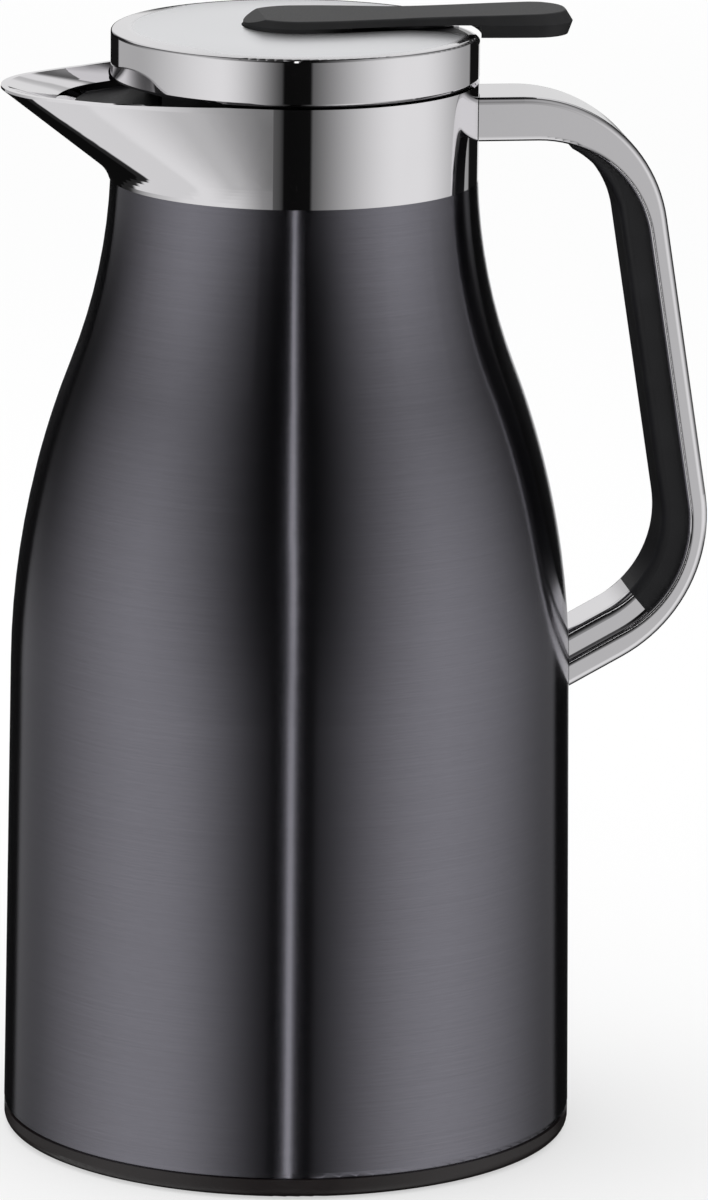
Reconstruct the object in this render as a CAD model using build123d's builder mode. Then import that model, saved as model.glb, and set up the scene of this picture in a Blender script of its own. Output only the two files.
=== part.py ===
from build123d import *
import os
from math import acos, asin, atan2, cos, pi, radians, sin, sqrt, tan

# A vacuum-insulated serving jug. The frame is millimetres, +Z up, origin at the centre of the
# flat underside. The handle points along +X, the spout along -X, and Y is the width.

# Steel body, outside
foot_radius = 64.0
foot_line = 8.0
belly_inset = 1.3
belly_radius = foot_radius - belly_inset
belly_height = 107.4
neck_radius = 40.75
neck_height = 222.15
hollow_radius = 130.0
shoulder_drop = 4.6
shoulder_top = neck_height - shoulder_drop
shell_wall = 0.8
vacuum_gap = 5.8
vessel_wall = 0.7
vessel_floor_gap = 6.0
vessel_corner = 11.0
neck_tube_inset = 3.35
neck_tube_radius = neck_radius - neck_tube_inset
lip_rise = 6.85
lip_height = neck_height + lip_rise
shell_foot = 4.6
foot_lip_width = 1.4
foot_roll = 1.5
bottom_plate = 1.0

# Base
base_foot_inset = 2.2
base_clearance = 0.3
base_wall = 2.0
pad_inset = 8.0
pad_radius = foot_radius - pad_inset
pad_thickness = 1.5
pad_recess_gap = 0.2
pad_edge = 0.4
plug_radius = 7.0
plug_spigot_radius = 2.9
getter_radius = 8.0
getter_height = 2.0
getter_offset = 26.0

# Collar and spout
collar_stand_out = 0.1
collar_radius = neck_radius + collar_stand_out
collar_wall = 1.8
collar_floor = 2.2
rim_rise = 17.5
rim_height = neck_height + rim_rise
spout_rim_drop = 0.85
spout_rim_height = rim_height - spout_rim_drop
spout_lip_height = 0.6
spout_tip_offset = 2.65
spout_tip_centre = collar_radius + spout_tip_offset
spout_tip_radius = 21.8
spout_slope = 52.2
spout_blend_radius = 8.0
spout_blend_steps = 5
spout_ease = 12.0
spout_lip_width = 1.4
bowl_ring_width = 12.15
bowl_ring_radius = collar_radius + bowl_ring_width
bowl_depth = 4.45
bowl_floor_height = rim_height - bowl_depth
tongue_reach = 8.15
tongue_radius = collar_radius + tongue_reach
rim_drop_start = 20.0
rim_drop_end = 45.0
rim_cut_rise = 10.0
fit_gap = 0.1

# Neck insert and its gasket
insert_flange_rise = 4.5
insert_flange_top = lip_height + insert_flange_rise
insert_flange_thickness = 2.5
insert_drop = 0.55
insert_top = rim_height - insert_drop
insert_bore_inset = 4.55
insert_bore = collar_radius - insert_bore_inset
insert_below_inset = 6.85
insert_wall_below = collar_radius - insert_below_inset
gasket_inset = 0.3

# Lid
lid_radius = collar_radius
lid_gap = 0.6
lid_bottom = rim_height + lid_gap
lid_height = 10.45
lid_rim_height = lid_bottom + lid_height
lid_crown = 0.9
lid_wall = 1.8
lid_top_wall = 1.9
lid_flat_radius = 22.0
lid_bevel_in = 0.4
lid_bevel_up = 0.6
lid_edge_round = 0.7
notch_depth = 2.2
notch_floor = lid_rim_height - notch_depth
notch_half_width = 13.5
notch_start_x = 14.0
notch_start_half = 9.0
core_floor_rise = 2.25
core_floor_top = lid_bottom + core_floor_rise
core_pocket_inset = 4.25
core_pocket_outer = lid_radius - core_pocket_inset
core_boss_radius = 14.0
spring_pocket_radius = 8.3
spring_seat_rise = 0.95
spring_seat_height = lid_bottom + spring_seat_rise
cover_gap = 0.15
core_rise = 0.05
core_bottom = lid_bottom + core_rise
seal_hub_radius = 7.5
seal_hub_drop = 4.05
seal_hub_bottom = lid_bottom - seal_hub_drop

# Lever
lever_rise = 3.4
lever_top = lid_rim_height + lever_rise
lever_tail_rise = 0.7
lever_slope_start = -13.6
lever_slope_end = -7.6
lever_slope_drop = 2.4
lever_bend_start = 22.0
lever_bend_end = 56.0
lever_head_x = 0.5
lever_head_radius = 12.1
lever_neck_x = 26.0
lever_neck_half = 8.7
lever_tail_half = 10.2
lever_overhang = 20.75
lever_tip_x = lid_radius + lever_overhang
lever_tip_corner = 8.0
lever_top_head = 11.1
lever_top_neck = 8.4
lever_top_tail = 8.8
lever_tip_slope = 1.4
lever_top_tip = lever_tip_x - lever_tip_slope
lever_lip_tail = 9.5
lever_lip_slope = 0.9
lever_lip_tip = lever_tip_x - lever_lip_slope
lever_head_sink = 0.2
lever_head_bottom = lid_rim_height - lever_head_sink
lever_mid_rise = 1.75
lever_mid_bottom = lid_rim_height + lever_mid_rise
lever_lip_drop = 1.1
lever_lip_bottom = lid_rim_height - lever_lip_drop
lever_lip_gap = 0.35
lever_clearance = 0.35
lever_edge_round = 0.6
pin_x = -9.4
pin_drop = 4.1
pin_height = lid_rim_height - pin_drop
pin_radius = 1.25
pin_length = 17.0
pin_fit = 0.05
lug_half_width = 5.0
lug_radius = 2.3
lug_gap = 0.3
pusher_radius = 2.0
pusher_gap = 0.1

# Stopper and valve
plug_inset = 8.45
plug_outer = neck_radius - plug_inset
plug_wall = 2.0
plug_depth = 22.15
plug_bottom = neck_height - plug_depth
plug_floor = 2.2
plug_edge = 1.0
thread_gap = 0.4
thread_radius = insert_bore - thread_gap
thread_rise = 0.5
thread_bottom = insert_flange_top + thread_rise
window_drop = 5.25
window_bottom = rim_height - window_drop
window_head_drop = 0.85
window_top = rim_height - window_head_drop
window_half_width = 17.0
port_radius = 17.5
hub_radius = 6.0
hub_height = 12.0
spoke_width = 3.2
spoke_count = 3
stopper_seal_height = 3.0
stopper_seal_drop = 1.65
stopper_seal_z = neck_height - stopper_seal_drop
stopper_seal_groove = 0.9
neck_seal_gap = 0.3
stem_radius = 3.0
stem_fit = 0.06
stem_end_radius = 2.0
stem_end_length = 0.6
cap_radius = 6.6
cap_thickness = 1.6
cap_sink = 1.2
cap_top = lid_rim_height - cap_sink
cap_bore_depth = 0.8
assembly_fit = 0.05
disc_radius = 20.5
disc_thickness = 2.4
valve_seal_thickness = 1.2
valve_seal_gap = 0.1
nut_radius = 4.5
nut_height = 2.4
stem_seal_radius = 5.2
stem_seal_height = 1.6
lid_screw_inset = 7.75
lid_screw_circle = lid_radius - lid_screw_inset
lid_screw_radius = 1.25
lid_screw_head = 2.2
lid_screw_head_height = 1.6
lid_screw_depth = 6.0
lid_screw_count = 4

# Valve spring
spring_wire = 0.9
spring_radius = 5.6
spring_turns = 3.5
spring_end_gap = 0.3

# Handle
handle_width = 19.5
handle_drop = 3.35
handle_top = rim_height - handle_drop
handle_root_depth = 9.9
handle_reach = 33.9
handle_corner_x = belly_radius + handle_reach
handle_corner_z = 120.4
grip_lean = 9.0
arm_slope = 28.5
top_bend_radius = 33.0
top_inner_radius = 25.5
low_bend_radius = 36.0
low_inner_radius = 28.0
plate_thickness = 4.5
arm_thickness = 5.4
rib_height = 5.6
rib_half_width = 7.8
rib_edge_round = 2.0
rib_top_radius = 21.0
rib_low_radius = 24.0
grip_seat_depth = 1.6
grip_top_inset = 35.1
grip_top_x = handle_corner_x - grip_top_inset
grip_end_inset = 20.6
grip_end_x = handle_corner_x - grip_end_inset
grip_end_rise = 2.6
grip_end_z = handle_corner_z + grip_end_rise
grip_end_fall = 50.0
handle_edge_round = 1.5
handle_inner_round = 1.2
handle_seat_gap = 0.1
root_screw_spacing = 11.0
root_screw_radius = 1.5
root_screw_head = 2.8
root_screw_head_height = 1.2
root_screw_reach = 9.0
root_screw_seat_wall = 1.4
bracket_tongue_width = 8.0
bracket_tongue_height = 4.4
bracket_tongue_length = 10.0
bracket_plate_width = 15.0
bracket_plate_height = 9.0
bracket_plate_thickness = 1.0
bracket_corner = 2.0
bracket_depth = 2.5
weld_gap = 0.05
foot_screw_radius = 1.6
foot_screw_head = 3.1
foot_screw_head_height = 1.7
foot_screw_recess = 0.3
foot_screw_inset = 5.0

os.makedirs("parts", exist_ok=True)


def finish(name, part):
    """Label a finished piece and write its file."""
    part.label = name
    export_step(part, "parts/" + name + ".step")


def on_circle(centre, radius, angle):
    """The point at an angle on a circle, as (distance from the axis, height)."""
    return (centre[0] + radius * cos(angle), centre[1] + radius * sin(angle))


# The side of the body: a straight wall that leans in, a swell, and a hollow up to the neck.
# The swell's radius is the one that meets the hollow's circle without a corner.
taper = atan2(foot_radius - belly_radius, belly_height - foot_line)
hollow_centre = (neck_radius + hollow_radius, neck_height)
swell_run = hollow_centre[0] - belly_radius
swell_rise = neck_height - belly_height
swell_radius = (swell_run**2 + swell_rise**2 - hollow_radius**2) / (
    2 * (hollow_radius - swell_run * cos(taper) - swell_rise * sin(taper))
)
swell_centre = on_circle((belly_radius, belly_height), -swell_radius, taper)
shoulder_lean = atan2(hollow_centre[1] - swell_centre[1], hollow_centre[0] - swell_centre[0])


def lower_radius(inset, height):
    """Radius of the straight lower wall at a height, drawn in by the inset."""
    belly = on_circle(swell_centre, swell_radius - inset, taper)
    return belly[0] + (belly[1] - height) * tan(taper)


def neck_point(inset, height):
    """The point of the hollow, or of the straight neck above it, at a height."""
    radius = hollow_radius + inset
    drop = max(neck_height - height, 0.0)
    return (hollow_centre[0] - sqrt(radius**2 - drop**2), height)


def side_wall(inset, low, high):
    """Draw the side from a low height to a high one, drawn in by the inset."""
    swell = swell_radius - inset
    hollow = hollow_radius + inset
    belly = on_circle(swell_centre, swell, taper)
    turn = on_circle(swell_centre, swell, shoulder_lean)
    bend_top = neck_point(inset, min(high, neck_height))
    top_angle = pi + asin((neck_height - bend_top[1]) / hollow)
    Line((lower_radius(inset, low), low), belly)
    ThreePointArc(belly, on_circle(swell_centre, swell, (taper + shoulder_lean) / 2), turn)
    ThreePointArc(turn, on_circle(hollow_centre, hollow, (shoulder_lean + pi + top_angle) / 2), bend_top)
    if high > neck_height:
        Line(bend_top, (bend_top[0], high))


# Outer shell: one drawn steel shell, rolled in at the foot and stepped in at the neck
shell_top = neck_point(0, shoulder_top)
shell_under = neck_point(shell_wall, shoulder_top - shell_wall)
plate_seat = shell_foot + shell_wall
foot_lip_radius = lower_radius(shell_wall, plate_seat) - foot_lip_width
with BuildPart() as outer_shell:
    with BuildSketch(Plane.XZ):
        with BuildLine():
            foot_edge = (lower_radius(0, shell_foot + foot_roll), shell_foot + foot_roll)
            side_wall(0, foot_edge[1], shoulder_top)
            Polyline(
                shell_top,
                (neck_tube_radius, shoulder_top),
                (neck_tube_radius, lip_height),
                (neck_tube_radius - shell_wall, lip_height),
                (neck_tube_radius - shell_wall, shell_under[1]),
                shell_under,
            )
            side_wall(shell_wall, plate_seat, shell_under[1])
            Polyline(
                (lower_radius(shell_wall, plate_seat), plate_seat),
                (foot_lip_radius, plate_seat),
                (foot_lip_radius, shell_foot),
                (foot_edge[0] - foot_roll, shell_foot),
            )
            RadiusArc((foot_edge[0] - foot_roll, shell_foot), foot_edge, -foot_roll)
        make_face()
    revolve(axis=Axis.Z)
finish("outer_shell", outer_shell.part)

# Bottom plate of the shell, with the small hole that the air is drawn out through
plate_radius = lower_radius(shell_wall, plate_seat + bottom_plate) - fit_gap
with BuildPart() as shell_bottom:
    with BuildSketch(Plane.XY.offset(plate_seat)):
        Circle(plate_radius)
        Circle(plug_spigot_radius + fit_gap, mode=Mode.SUBTRACT)
    extrude(amount=bottom_plate)
finish("shell_bottom", shell_bottom.part)

with BuildPart() as vacuum_plug:
    with BuildSketch(Plane.XY.offset(plate_seat - bottom_plate)):
        Circle(plug_radius)
    extrude(amount=bottom_plate)
    with BuildSketch(Plane.XY.offset(plate_seat)):
        Circle(plug_spigot_radius)
    extrude(amount=bottom_plate)
finish("vacuum_plug", vacuum_plug.part)

plate_top = plate_seat + bottom_plate
with BuildPart() as getter:
    with BuildSketch(Plane.XY.offset(plate_top)):
        with Locations((getter_offset, 0)):
            Circle(getter_radius)
            Circle(getter_radius / 2, mode=Mode.SUBTRACT)
    extrude(amount=getter_height)
finish("getter", getter.part)

# Inner vessel: holds the drink, joined to the shell only at the lip
vessel_out = shell_wall + vacuum_gap
vessel_in = vessel_out + vessel_wall
vessel_low = plate_top + vessel_floor_gap
vessel_floor_z = vessel_low + vessel_wall
with BuildPart() as inner_vessel:
    with BuildSketch(Plane.XZ):
        with BuildLine():
            corner_z = vessel_low + vessel_corner
            outer_corner = lower_radius(vessel_out, corner_z)
            inner_corner = lower_radius(vessel_in, corner_z)
            floor_edge = outer_corner - vessel_corner
            Line((0, vessel_low), (floor_edge, vessel_low))
            RadiusArc((floor_edge, vessel_low), (outer_corner, corner_z), -vessel_corner)
            side_wall(vessel_out, corner_z, lip_height)
            Polyline(
                (neck_point(vessel_out, neck_height)[0], lip_height),
                (neck_tube_radius, lip_height),
                (neck_tube_radius, lip_height + vessel_wall),
                (neck_point(vessel_in, neck_height)[0], lip_height + vessel_wall),
            )
            side_wall(vessel_in, corner_z, lip_height + vessel_wall)
            inner_round = vessel_corner - vessel_wall
            RadiusArc((inner_corner, corner_z), (inner_corner - inner_round, vessel_floor_z), inner_round)
            Polyline((inner_corner - inner_round, vessel_floor_z), (0, vessel_floor_z), (0, vessel_low))
        make_face()
    revolve(axis=Axis.Z)
finish("inner_vessel", inner_vessel.part)
vessel_neck = neck_point(vessel_in, neck_height)[0]

# Base cap: the dark ring under the body, open at the top, with a recess below for the pad
base_round = foot_radius - base_foot_inset
with BuildPart() as base_cap:
    with BuildSketch(Plane.XZ):
        with BuildLine():
            foot_turn = base_clearance + base_foot_inset
            Polyline(
                (0, pad_thickness + pad_recess_gap),
                (pad_radius + pad_recess_gap, pad_thickness + pad_recess_gap),
                (pad_radius + pad_recess_gap, base_clearance),
                (base_round, base_clearance),
            )
            RadiusArc((base_round, base_clearance), (foot_radius, foot_turn), -base_foot_inset)
            Polyline(
                (foot_radius, foot_turn),
                (foot_radius, shell_foot),
                (foot_radius - base_wall, shell_foot),
                (foot_radius - base_wall, pad_thickness + pad_recess_gap + base_wall / 2),
                (0, pad_thickness + pad_recess_gap + base_wall / 2),
                (0, pad_thickness + pad_recess_gap),
            )
        make_face()
    revolve(axis=Axis.Z)
finish("base_cap", base_cap.part)

with BuildPart() as base_pad:
    with BuildSketch():
        Circle(pad_radius)
    extrude(amount=pad_thickness + pad_recess_gap)
    chamfer(base_pad.edges().group_by(Axis.Z)[0], length=pad_edge)
finish("base_pad", base_pad.part)


# Spout: every level of it is the collar's circle and a smaller circle nearer to the tip,
# joined by smooth sides. The smaller circle moves out and shrinks on the way up.
tangent_angle = acos((collar_radius - spout_tip_radius) / spout_tip_centre)
spout_reach = spout_tip_centre + spout_tip_radius - collar_radius


def spout_outline(ring, share):
    """Draw one level of the spout: 0 is the plain circle, 1 is the full reach."""
    centre = spout_tip_centre * share
    tip = ring - (collar_radius - spout_tip_radius) * share
    leave = tangent_angle + radians(spout_ease)
    meet = tangent_angle - radians(spout_ease)
    ring_end = (-ring * cos(leave), ring * sin(leave))
    tip_end = (-centre - tip * cos(meet), tip * sin(meet))
    ThreePointArc((ring_end[0], -ring_end[1]), (ring, 0), ring_end)
    ThreePointArc((tip_end[0], -tip_end[1]), (-centre - tip, 0), tip_end)
    for side in (-1, 1):
        Spline(
            (ring_end[0], side * ring_end[1]),
            (tip_end[0], side * tip_end[1]),
            tangents=[(-sin(leave), -side * cos(leave)), (-sin(meet), -side * cos(meet))],
        )


# The underside starts upright, bends through a small arc and then runs straight to the lip
lip_start = spout_rim_height - spout_lip_height
lean = radians(spout_slope)
blend_out = spout_blend_radius * (1 - cos(lean))
blend_end_z = lip_start - (spout_reach - blend_out) / tan(lean)
blend_start_z = blend_end_z - spout_blend_radius * sin(lean)
blend_low_angle = asin((shoulder_top - blend_start_z) / spout_blend_radius)
blend_step = (lean - blend_low_angle) / spout_blend_steps
blend_angles = [blend_low_angle + blend_step * step for step in range(spout_blend_steps + 1)]
spout_levels = [
    (blend_start_z + spout_blend_radius * sin(angle), spout_blend_radius * (1 - cos(angle)) / spout_reach)
    for angle in blend_angles
] + [(lip_start, 1.0)]
rim_cut_top = rim_height + rim_cut_rise


def reach_share(height):
    """Share of the full reach that the spout's underside has at a height."""
    return 1.0 - (lip_start - height) * tan(lean) / spout_reach


with BuildPart() as collar:
    for height, share in spout_levels:
        with BuildSketch(Plane.XY.offset(height)):
            with BuildLine():
                spout_outline(collar_radius, share)
            make_face()
    loft(ruled=True)
    with BuildSketch(Plane.XY.offset(lip_start)):
        with BuildLine():
            spout_outline(collar_radius, 1.0)
        make_face()
    extrude(amount=rim_height - lip_start)
    # the rim comes down from the collar to the spout
    with BuildSketch(Plane.XZ):
        Polygon(
            (-rim_drop_start, rim_height),
            (-rim_drop_end, spout_rim_height),
            (-2 * spout_tip_centre, spout_rim_height),
            (-2 * spout_tip_centre, rim_cut_top),
            (-rim_drop_start, rim_cut_top),
            align=None,
        )
    extrude(amount=2 * collar_radius, both=True, mode=Mode.SUBTRACT)
    # bore above the floor, and the smaller bore that goes over the neck tube
    with BuildSketch(Plane.XY.offset(shoulder_top + collar_floor)):
        Circle(collar_radius - collar_wall)
    extrude(amount=rim_cut_top - shoulder_top, mode=Mode.SUBTRACT)
    with BuildSketch(Plane.XY.offset(shoulder_top - collar_floor)):
        Circle(neck_tube_radius + fit_gap)
    extrude(amount=3 * collar_floor, mode=Mode.SUBTRACT)

# The hollow of the spout: a seat for the insert's tongue, a bevelled step and an open bowl
tongue_low = insert_flange_top - insert_flange_thickness
seat_levels = [(tongue_low - fit_gap, reach_share(tongue_low - collar_wall)), (lip_start, 1.0)]
bowl_inner = collar_radius - spout_lip_width
bowl_share = (bowl_ring_radius - bowl_inner) / spout_reach
with BuildPart() as spout_seat:
    for height, share in seat_levels:
        with BuildSketch(Plane.XY.offset(height)):
            with BuildLine():
                spout_outline(collar_radius - collar_wall, share)
            make_face()
    loft(ruled=True)
    with BuildSketch(Plane.XZ):
        with BuildLine():
            Polyline(
                (0, tongue_low - fit_gap),
                (tongue_radius, tongue_low - fit_gap),
                (tongue_radius, insert_flange_top),
                (bowl_ring_radius, bowl_floor_height),
                (0, bowl_floor_height),
                (0, tongue_low - fit_gap),
            )
        make_face()
    revolve(axis=Axis.Z, mode=Mode.INTERSECT)
with BuildPart() as spout_bowl:
    with BuildSketch(Plane.XY.offset(bowl_floor_height)):
        with BuildLine():
            spout_outline(bowl_inner, bowl_share)
        make_face()
    with BuildSketch(Plane.XY.offset(spout_rim_height)):
        with BuildLine():
            spout_outline(bowl_inner, 1.0)
        make_face()
    loft(ruled=True)
    with BuildSketch(Plane.XY.offset(spout_rim_height)):
        with BuildLine():
            spout_outline(bowl_inner, 1.0)
        make_face()
    extrude(amount=rim_cut_top - spout_rim_height)
    with BuildSketch(Plane.XY.offset(spout_rim_height)):
        with Locations((rim_cut_top / 2, 0)):
            Rectangle(rim_cut_top, rim_cut_top)
    extrude(amount=rim_cut_top, both=True, mode=Mode.SUBTRACT)

# Two screws hold the handle from inside the collar
root_screw_z = handle_top - handle_root_depth / 2
root_seat_x = collar_radius - root_screw_seat_wall - (collar_radius - sqrt(
    collar_radius**2 - (root_screw_spacing / 2 + root_screw_head) ** 2
))
with BuildPart() as root_screw_space:
    for side in (-1, 1):
        with BuildSketch(Plane.YZ.offset(root_seat_x - collar_wall - 1)):
            with Locations((side * root_screw_spacing / 2, root_screw_z)):
                Circle(root_screw_head + 2 * fit_gap)
        extrude(amount=collar_wall + 1)
        with BuildSketch(Plane.YZ.offset(root_seat_x)):
            with Locations((side * root_screw_spacing / 2, root_screw_z)):
                Circle(root_screw_radius + fit_gap / 2)
        extrude(amount=root_screw_reach + fit_gap)
with collar:
    add(spout_seat.part, mode=Mode.SUBTRACT)
    add(spout_bowl.part, mode=Mode.SUBTRACT)
    add(root_screw_space.part, mode=Mode.SUBTRACT)
finish("collar", collar.part)

# Lip gasket, pressed on the steel lip by the neck insert
lip_top = lip_height + vessel_wall
with BuildPart() as lip_gasket:
    with BuildSketch(Plane.XY.offset(lip_top)):
        Circle(neck_tube_radius)
        Circle(vessel_neck + gasket_inset, mode=Mode.SUBTRACT)
    extrude(amount=tongue_low - lip_top)
finish("lip_gasket", lip_gasket.part)

# Neck insert: skirt round the neck tube, flange over the gasket, threaded wall and spout tongue
insert_outer = collar_radius - collar_wall - fit_gap
with BuildPart() as tongue:
    for height, share in seat_levels:
        with BuildSketch(Plane.XY.offset(height + fit_gap)):
            with BuildLine():
                spout_outline(collar_radius - collar_wall - fit_gap, share)
            make_face()
    loft(ruled=True)
    with BuildSketch(Plane.XY.offset(tongue_low)):
        Circle(tongue_radius - fit_gap)
    extrude(amount=insert_flange_thickness, mode=Mode.INTERSECT)
with BuildPart() as neck_insert:
    with BuildSketch(Plane.XY.offset(shoulder_top + collar_floor)):
        Circle(insert_outer)
        Circle(neck_tube_radius + fit_gap, mode=Mode.SUBTRACT)
    extrude(amount=tongue_low - shoulder_top - collar_floor)
    with BuildSketch(Plane.XY.offset(tongue_low)):
        Circle(insert_outer)
    extrude(amount=insert_flange_thickness)
    with BuildSketch(Plane.XY.offset(insert_flange_top)):
        Circle(insert_outer)
        Circle(insert_bore, mode=Mode.SUBTRACT)
    extrude(amount=insert_top - insert_flange_top)
    # the side towards the spout is open, so that the drink runs out over the flange
    with BuildSketch(Plane.XY.offset(insert_flange_top)):
        with Locations((-insert_outer, 0)):
            Rectangle(insert_outer, 2 * insert_outer * sin(tangent_angle))
    extrude(amount=insert_top, mode=Mode.SUBTRACT)
    add(tongue.part)
    with BuildSketch(Plane.XY.offset(tongue_low)):
        Circle(insert_wall_below)
    extrude(amount=insert_flange_thickness, mode=Mode.SUBTRACT)
    add(root_screw_space.part, mode=Mode.SUBTRACT)
finish("neck_insert", neck_insert.part)

with BuildPart() as handle_root_screws:
    for side in (-1, 1):
        with BuildSketch(Plane.YZ.offset(root_seat_x - root_screw_head_height)):
            with Locations((side * root_screw_spacing / 2, root_screw_z)):
                Circle(root_screw_head)
        extrude(amount=root_screw_head_height)
        with BuildSketch(Plane.YZ.offset(root_seat_x)):
            with Locations((side * root_screw_spacing / 2, root_screw_z)):
                Circle(root_screw_radius)
        extrude(amount=root_screw_reach)
finish("handle_root_screws", handle_root_screws.part)

# Handle: a flat plate bent from the collar down to the body, with a rib along its inside.
# The rib is soft black over the grip and part of the casting on the lower arm.
grip_angle = radians(grip_lean)
arm_angle = radians(arm_slope)


def grip_x(inset, height):
    """Where the leaning line of the grip is at a height, moved in by the inset."""
    return handle_corner_x - inset / cos(grip_angle) - (height - handle_corner_z) * tan(grip_angle)


def handle_route(grip_inset, arm_inset, top):
    """Corners of one line along the handle: root, top bend, low bend, foot."""
    arm_lift = arm_inset / cos(arm_angle)
    slope = tan(arm_angle)
    rise = arm_lift + slope * (grip_x(grip_inset, handle_corner_z) - handle_corner_x)
    low_z = handle_corner_z + rise / (1 + slope * tan(grip_angle))
    low = (grip_x(grip_inset, low_z), low_z)
    foot_x = belly_radius - 2 * arm_thickness
    return [
        (0, top),
        (grip_x(grip_inset, top), top),
        low,
        (foot_x, low[1] - (low[0] - foot_x) * slope),
    ]


def band(outer, inner, outer_bends, inner_bends, width):
    """A bent plate between two lines along the handle."""
    corners = [0, *outer_bends, 0, 0, *reversed(inner_bends), 0]
    with BuildPart() as result:
        with BuildSketch(Plane.XZ):
            with BuildLine():
                FilletPolyline(*outer, *reversed(inner), radius=corners, close=True)
            make_face()
        extrude(amount=width / 2, both=True)
    return result.part


def long_edges(edges, route, bends, width):
    """The edges of a bent plate that run along one of its lines."""
    with BuildLine(Plane.XZ) as path:
        FilletPolyline(*route, radius=list(bends))
    line = path.wire()
    return [
        edge for edge in edges
        if abs(line.distance_to(edge.position_at(0.5)) - width / 2) < fit_gap / 2
    ]


def body_solid(inset):
    """The steel body as one plain solid, drawn in by the inset."""
    with BuildPart() as solid:
        with BuildSketch(Plane.XZ):
            with BuildLine():
                side_wall(inset, shell_foot, shoulder_top)
                Polyline(
                    neck_point(inset, shoulder_top),
                    (0, shoulder_top),
                    (0, shell_foot),
                    (lower_radius(inset, shell_foot), shell_foot),
                )
            make_face()
        revolve(axis=Axis.Z)
    return solid.part


def arm_point(along, inset):
    """A point of the lower arm: along it from the outer corner, and in from its underside."""
    return (
        handle_corner_x - along * cos(arm_angle) - inset * sin(arm_angle),
        0,
        handle_corner_z - along * sin(arm_angle) + inset * cos(arm_angle),
    )


handle_bottom = handle_top - handle_root_depth
seat_inset = plate_thickness - grip_seat_depth
pocket_depth = grip_seat_depth + fit_gap
outer_line = handle_route(0, 0, handle_top)
inner_line = handle_route(plate_thickness, arm_thickness, handle_bottom)
crown_line = handle_route(plate_thickness + rib_height, arm_thickness + rib_height, handle_bottom)
seat_line = handle_route(seat_inset, arm_thickness - grip_seat_depth, handle_bottom + grip_seat_depth)
pocket_line = handle_route(
    plate_thickness - pocket_depth, arm_thickness - pocket_depth, handle_bottom + pocket_depth
)
outer_bends = (top_bend_radius, low_bend_radius)
inner_bends = (top_inner_radius, low_inner_radius)
crown_bends = (rib_top_radius, rib_low_radius)
rib = band(seat_line, crown_line, inner_bends, crown_bends, 2 * rib_half_width)

# The grip runs from under the top bend to the low bend; below that end the rib is metal
grip_cut = 2 * rib_height
cut_high = (
    grip_end_x - grip_cut * cos(radians(grip_end_fall)),
    grip_end_z + grip_cut * sin(radians(grip_end_fall)),
)
cut_low = (2 * grip_end_x - cut_high[0], 2 * grip_end_z - cut_high[1])
beyond_x = handle_corner_x + plate_thickness
with BuildPart() as grip_space:
    with BuildSketch(Plane.XZ):
        Polygon(
            (grip_top_x, handle_top),
            (grip_top_x, cut_high[1]),
            cut_high,
            cut_low,
            (beyond_x, cut_low[1]),
            (beyond_x, handle_top),
            align=None,
        )
    extrude(amount=handle_width, both=True)
with BuildPart() as arm_rib:
    with BuildSketch(Plane.XZ):
        Polygon(
            (belly_radius - bracket_tongue_length, cut_high[1]),
            cut_high,
            cut_low,
            (cut_low[0], base_clearance),
            (belly_radius - bracket_tongue_length, base_clearance),
            align=None,
        )
    extrude(amount=handle_width, both=True)
    add(rib, mode=Mode.INTERSECT)
    fillet(long_edges(arm_rib.edges(), crown_line, crown_bends, 2 * rib_half_width), radius=rib_edge_round)
with BuildPart() as grip_pocket:
    add(band(pocket_line, crown_line, inner_bends, crown_bends, 2 * (rib_half_width + fit_gap)))
    add(grip_space.part, mode=Mode.INTERSECT)

# Foot bracket: a plate on the shell with a tongue that points along the lower arm
arm_middle = (arm_thickness + rib_height) / 2
bracket_root = (handle_corner_x - arm_middle * sin(arm_angle) - belly_radius) / cos(arm_angle)
bracket_z = arm_point(bracket_root, arm_middle)[2]
tongue_plane = Plane(
    origin=arm_point(bracket_root + bracket_depth, arm_middle),
    x_dir=(0, 1, 0),
    z_dir=(cos(arm_angle), 0, sin(arm_angle)),
)


def bracket_shape(gap):
    """The bracket's plate and tongue, grown by a gap all round."""
    with BuildPart() as shape:
        with BuildSketch(Plane.YZ.offset(belly_radius - bracket_depth)):
            with Locations((0, bracket_z)):
                RectangleRounded(
                    bracket_plate_width + 2 * gap, bracket_plate_height + 2 * gap, bracket_corner
                )
        extrude(amount=2 * bracket_depth)
        add(body_solid(-weld_gap - bracket_plate_thickness - gap), mode=Mode.INTERSECT)
        with BuildSketch(tongue_plane):
            Rectangle(bracket_tongue_width + 2 * gap, bracket_tongue_height + 2 * gap)
        extrude(amount=bracket_depth + bracket_tongue_length + gap)
    return shape.part


screw_plane = Plane(
    origin=arm_point(bracket_root - foot_screw_inset, 0),
    x_dir=(0, 1, 0),
    z_dir=(-sin(arm_angle), 0, cos(arm_angle)),
)
screw_seat = foot_screw_recess + foot_screw_head_height
screw_end = arm_middle + bracket_tongue_height / 2
with BuildPart() as foot_bracket:
    add(bracket_shape(0))
    add(body_solid(-weld_gap), mode=Mode.SUBTRACT)
    with BuildSketch(screw_plane):
        Circle(foot_screw_radius + assembly_fit)
    extrude(amount=2 * screw_end, mode=Mode.SUBTRACT)
finish("foot_bracket", foot_bracket.part)

with BuildPart() as handle_foot_screw:
    with BuildSketch(screw_plane.offset(foot_screw_recess)):
        Circle(foot_screw_head)
    extrude(amount=foot_screw_head_height)
    with BuildSketch(screw_plane.offset(screw_seat)):
        Circle(foot_screw_radius)
    extrude(amount=screw_end - screw_seat)
finish("handle_foot_screw", handle_foot_screw.part)

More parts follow.
